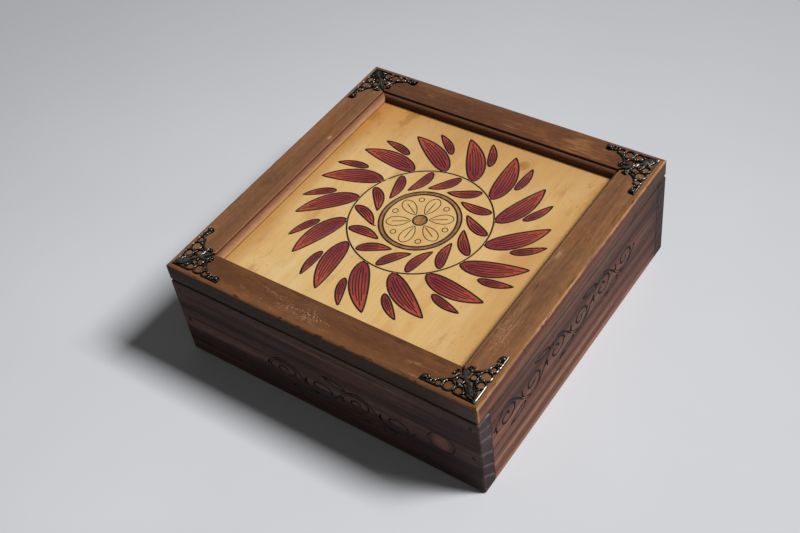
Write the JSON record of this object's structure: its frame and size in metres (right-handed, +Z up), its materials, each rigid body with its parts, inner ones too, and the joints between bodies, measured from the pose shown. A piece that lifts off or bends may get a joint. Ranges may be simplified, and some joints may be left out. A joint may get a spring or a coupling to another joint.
{
  "type": "keepsake box",
  "caption": "Low square wooden box with a hinged framed lid, a sunk lid panel and pierced metal lid corners, for keeping papers and small keepsakes.",
  "frame": {"origin": "centre of the body's underside, on the table", "axes": "+Z up, -Y to the front of the box, +X to its right seen from the front"},
  "size_m": [0.2, 0.2008, 0.0711],
  "materials": {
    "body_pine": "dark brown stain, satin",
    "lid_pine": "brown stain, worn at the edges, satin",
    "panel_wood": "clear varnish over a painted and burnt ornament",
    "plywood": "bare",
    "antique_metal": "blackened, rubbed bright on the high spots",
    "hinge_brass": "aged",
    "dark_steel": "dull"
  },
  "bodies": {
    "box": {"front_board": "body_pine", "back_board": "body_pine", "left_board": "body_pine", "right_board": "body_pine", "bottom_panel": "plywood", "corner_nails": "dark_steel", "bottom_pins": "dark_steel", "hinge_left_box_leaf": "hinge_brass", "hinge_right_box_leaf": "hinge_brass", "hinge_left_pin": "dark_steel", "hinge_right_pin": "dark_steel", "box_leaf_screws": "hinge_brass"},
    "lid": {"lid_rail_front": "lid_pine", "lid_rail_back": "lid_pine", "lid_rail_left": "lid_pine", "lid_rail_right": "lid_pine", "lid_panel": "panel_wood", "hinge_left_lid_leaf": "hinge_brass", "hinge_right_lid_leaf": "hinge_brass", "lid_leaf_screws": "hinge_brass", "corner_front_left": "antique_metal", "corner_front_right": "antique_metal", "corner_back_left": "antique_metal", "corner_back_right": "antique_metal", "corner_pins": "antique_metal"}
  },
  "joints": [
    {"name": "lid_hinge", "type": "hinge", "parent": "box", "child": "lid", "pos_m": [0, 0.0992, 0.057], "axis": [-1, 0, 0], "range_deg": [0, 120]}
  ]
}
